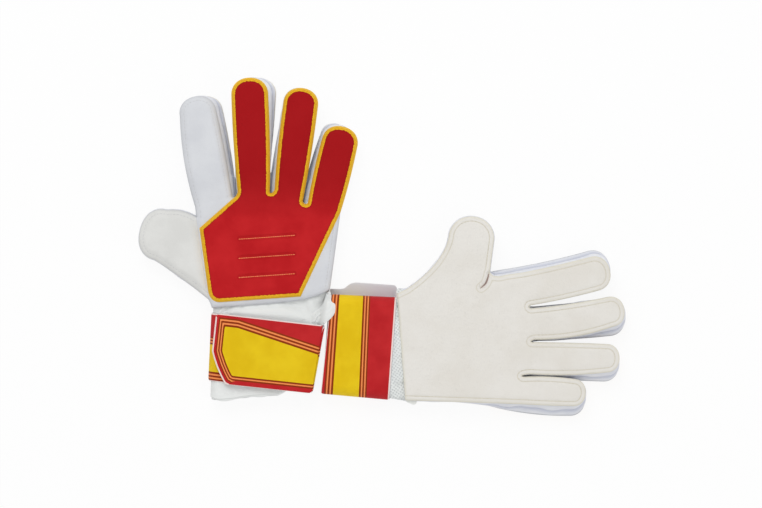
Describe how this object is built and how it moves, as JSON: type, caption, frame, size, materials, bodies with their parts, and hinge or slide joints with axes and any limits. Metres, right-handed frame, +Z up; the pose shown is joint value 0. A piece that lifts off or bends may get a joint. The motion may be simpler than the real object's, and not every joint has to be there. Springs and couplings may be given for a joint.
{
  "type": "goalkeeper gloves",
  "caption": "Pair of junior goalkeeper gloves laid flat, with padded backs, foam palms, gusseted fingers, elastic cuffs and a wrap strap that closes over the wrist.",
  "frame": {"origin": "under the middle of the pair's box, on the surface that the gloves lie on", "axes": "+X across the pair from the right glove to the left glove, +Y along the right glove from its cuff to its fingertips, +Z up. The right glove lies on its palm and the left glove on its back."},
  "size_m": [0.3318, 0.23, 0.0193],
  "materials": {
    "latex_palm": "matte latex foam",
    "white_foam": "matte foam-backed knit",
    "red_foam": "matte foam-backed knit",
    "gusset_cloth": "matte polyester mesh",
    "lining_cloth": "matte brushed tricot",
    "cuff_cloth": "matte elastic knit",
    "cuff_mesh": "matte perforated mesh",
    "strap_band": "printed satin webbing",
    "strap_tongue": "moulded satin face",
    "loop_pile": "brushed loop pile",
    "hook_pad": "fine plastic hooks"
  },
  "bodies": {
    "gloves": {"right_palm": "latex_palm", "right_backhand": "white_foam", "right_back_panel": "red_foam", "right_palm_lining": "lining_cloth", "right_back_lining": "lining_cloth", "right_side_gusset": "gusset_cloth", "right_web_gusset": "gusset_cloth", "right_cuff_back": "cuff_cloth", "right_cuff_palm": "cuff_mesh", "right_cuff_hem": "cuff_cloth", "right_strap_band": "strap_band", "right_loop_pad": "loop_pile", "left_palm": "latex_palm", "left_backhand": "white_foam", "left_back_panel": "red_foam", "left_palm_lining": "lining_cloth", "left_back_lining": "lining_cloth", "left_side_gusset": "gusset_cloth", "left_web_gusset": "gusset_cloth", "left_cuff_back": "cuff_cloth", "left_cuff_palm": "cuff_mesh", "left_cuff_hem": "cuff_cloth", "left_strap_band": "strap_band", "left_loop_pad": "loop_pile"},
    "right_index": {"right_index_palm": "latex_palm", "right_index_back": "white_foam", "right_index_gusset": "gusset_cloth"},
    "right_middle": {"right_middle_palm": "latex_palm", "right_middle_back": "red_foam", "right_middle_gusset": "gusset_cloth"},
    "right_ring": {"right_ring_palm": "latex_palm", "right_ring_back": "red_foam", "right_ring_gusset": "gusset_cloth"},
    "right_little": {"right_little_palm": "latex_palm", "right_little_back": "red_foam", "right_little_gusset": "gusset_cloth"},
    "right_thumb": {"right_thumb_palm": "latex_palm", "right_thumb_back": "white_foam", "right_thumb_gusset": "gusset_cloth"},
    "right_strap_tongue": {"right_strap_tongue": "strap_tongue", "right_hook_pad": "hook_pad"},
    "left_index": {"left_index_palm": "latex_palm", "left_index_back": "white_foam", "left_index_gusset": "gusset_cloth"},
    "left_middle": {"left_middle_palm": "latex_palm", "left_middle_back": "red_foam", "left_middle_gusset": "gusset_cloth"},
    "left_ring": {"left_ring_palm": "latex_palm", "left_ring_back": "red_foam", "left_ring_gusset": "gusset_cloth"},
    "left_little": {"left_little_palm": "latex_palm", "left_little_back": "red_foam", "left_little_gusset": "gusset_cloth"},
    "left_thumb": {"left_thumb_palm": "latex_palm", "left_thumb_back": "white_foam", "left_thumb_gusset": "gusset_cloth"},
    "left_strap_tongue": {"left_strap_tongue": "strap_tongue", "left_hook_pad": "hook_pad"}
  },
  "joints": [
    {"name": "right_index_bends", "type": "hinge", "parent": "gloves", "child": "right_index", "pos_m": [-0.11307, 0.04551, 0], "axis": [-0.9816, -0.1908, 0], "range_deg": [0, 70]},
    {"name": "right_middle_bends", "type": "hinge", "parent": "gloves", "child": "right_middle", "pos_m": [-0.08957, 0.05001, 0], "axis": [-0.9962, 0.0872, 0], "range_deg": [0, 70]},
    {"name": "right_ring_bends", "type": "hinge", "parent": "gloves", "child": "right_ring", "pos_m": [-0.06637, 0.04902, 0], "axis": [-0.9848, 0.1736, 0], "range_deg": [0, 70]},
    {"name": "right_little_bends", "type": "hinge", "parent": "gloves", "child": "right_little", "pos_m": [-0.04527, 0.04251, 0], "axis": [-0.9511, 0.309, 0], "range_deg": [0, 70]},
    {"name": "right_thumb_bends", "type": "hinge", "parent": "gloves", "child": "right_thumb", "pos_m": [-0.12352, -0.00749, 0], "axis": [0.1501, -0.9887, 0], "range_deg": [0, 60]},
    {"name": "right_strap_tongue_opens", "type": "hinge", "parent": "gloves", "child": "right_strap_tongue", "pos_m": [-0.04228, -0.07638, 0.01745], "axis": [0.1132, 0.9936, 0], "range_deg": [0, 120]},
    {"name": "left_index_bends", "type": "hinge", "parent": "gloves", "child": "left_index", "pos_m": [0.09653, -0.02879, 0.0193], "axis": [0.225, -0.9744, 0], "range_deg": [0, 70]},
    {"name": "left_middle_bends", "type": "hinge", "parent": "gloves", "child": "left_middle", "pos_m": [0.10103, -0.05228, 0.0193], "axis": [0.1045, -0.9945, 0], "range_deg": [0, 70]},
    {"name": "left_ring_bends", "type": "hinge", "parent": "gloves", "child": "left_ring", "pos_m": [0.10003, -0.07548, 0.0193], "axis": [-0.0175, -0.9998, 0], "range_deg": [0, 70]},
    {"name": "left_little_bends", "type": "hinge", "parent": "gloves", "child": "left_little", "pos_m": [0.09353, -0.09659, 0.0193], "axis": [-0.1132, -0.9936, 0], "range_deg": [0, 70]},
    {"name": "left_thumb_bends", "type": "hinge", "parent": "gloves", "child": "left_thumb", "pos_m": [0.04353, -0.02133, 0.0193], "axis": [0.9887, 0.1501, 0], "range_deg": [0, 60]},
    {"name": "left_strap_tongue_opens", "type": "hinge", "parent": "gloves", "child": "left_strap_tongue", "pos_m": [-0.01819, -0.1024, 0.00185], "axis": [-0.9976, 0.0698, 0], "range_deg": [0, 120]}
  ]
}
